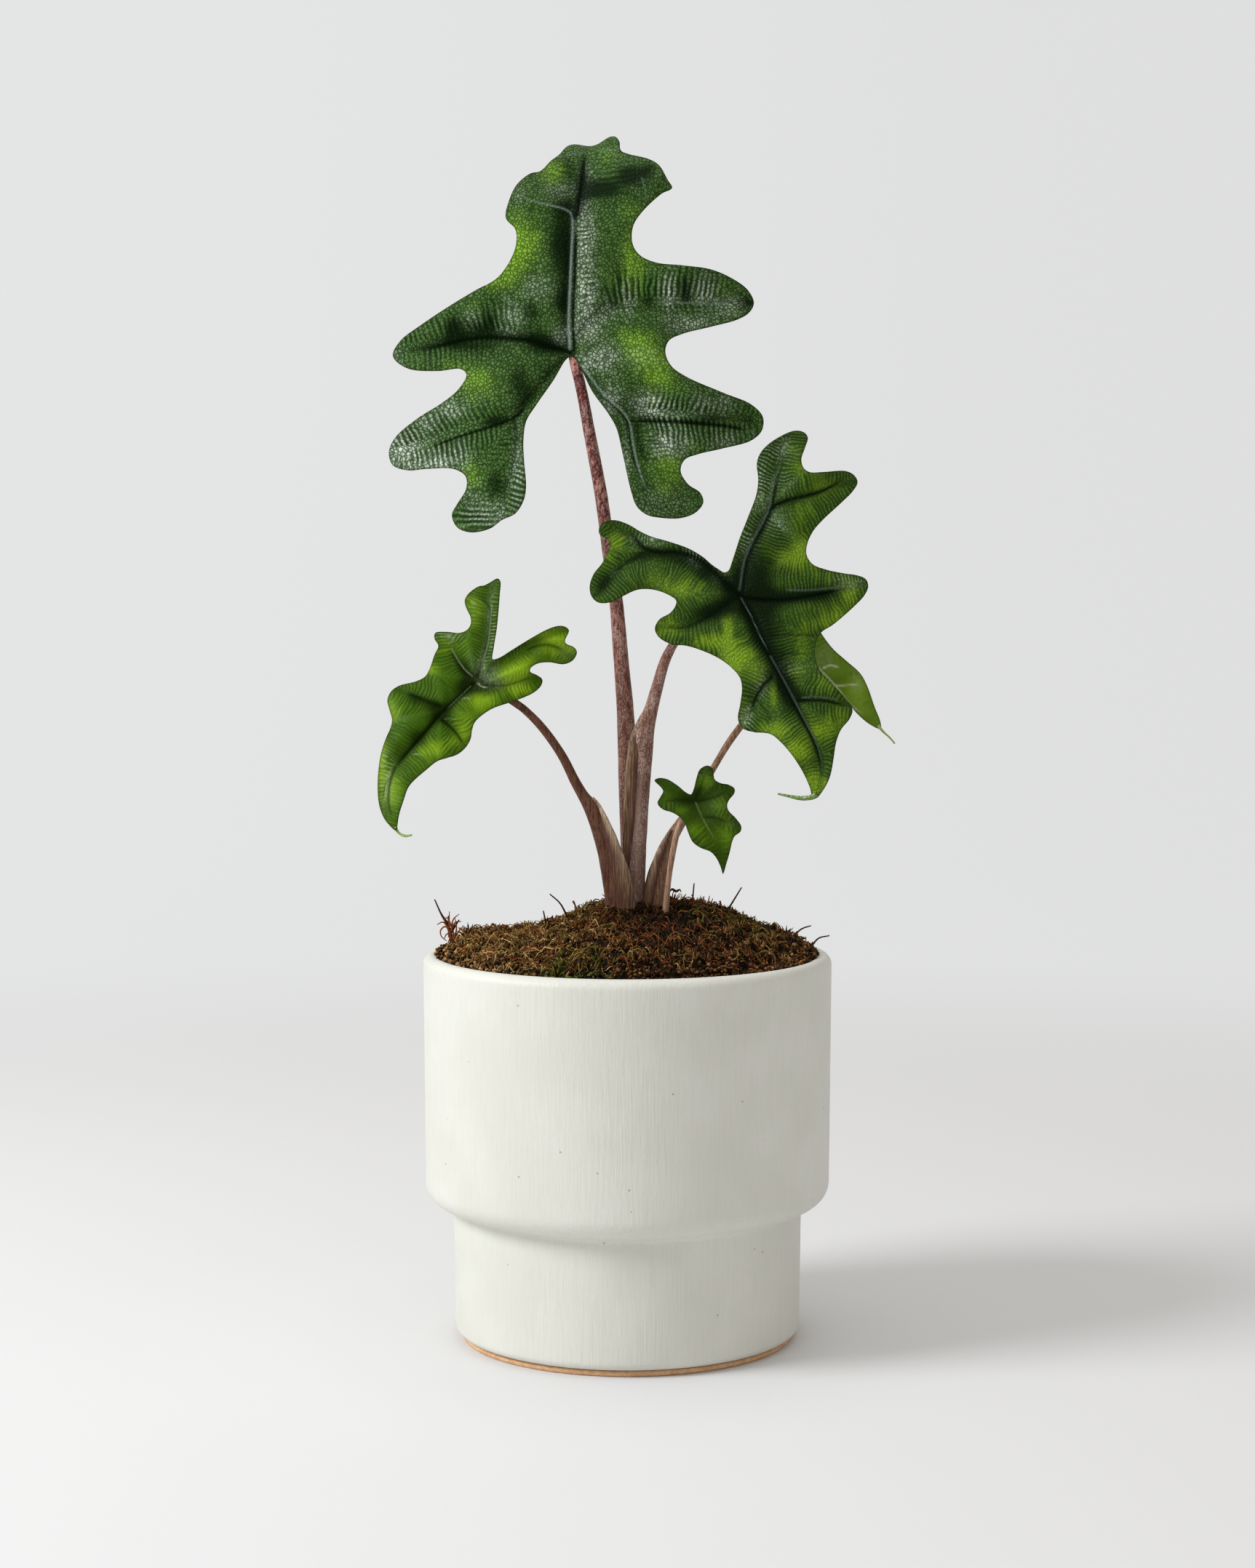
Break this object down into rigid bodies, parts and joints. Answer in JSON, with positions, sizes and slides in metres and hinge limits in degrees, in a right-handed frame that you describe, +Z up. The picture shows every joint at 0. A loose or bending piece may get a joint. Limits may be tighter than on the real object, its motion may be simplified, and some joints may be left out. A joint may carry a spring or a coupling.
{
  "type": "potted jacklyn alocasia",
  "caption": "Potted aroid house plant with deeply lobed corrugated leaves on mottled stems, in a moss-topped ceramic planter with a narrower foot.",
  "frame": {"origin": "centre of the flat underside of the pad, on the pot's axis, at the surface that the plant stands on", "axes": "+Z up along the pot's axis; -Y towards the side that the leaves face; +X to the right seen from there"},
  "size_m": [0.1888, 0.15, 0.4436],
  "materials": {
    "ceramic": "matte off-white glaze, lightly brushed",
    "pad": "plain brown, matte",
    "corm": "rough, fibrous",
    "mix": "loose, damp, matte",
    "moss": "shaggy, brown and olive fibres",
    "stem_mottled": "satin, dark red-brown mottling on pink",
    "stem_brown": "satin, purple-brown with fine speckles",
    "leaf": "semi-gloss, corrugated and pebbled"
  },
  "bodies": {
    "root": {"pot": "ceramic", "base_pad": "pad", "corm": "corm", "potting_mix": "mix", "moss_mound": "moss", "petiole_tall": "stem_mottled", "petiole_right": "stem_mottled", "petiole_left": "stem_brown", "petiole_back": "stem_brown", "petiole_small": "stem_brown", "leaf_tall": "leaf", "leaf_right": "leaf", "leaf_left": "leaf", "leaf_back": "leaf", "leaf_small": "leaf"}
  },
  "joints": []
}
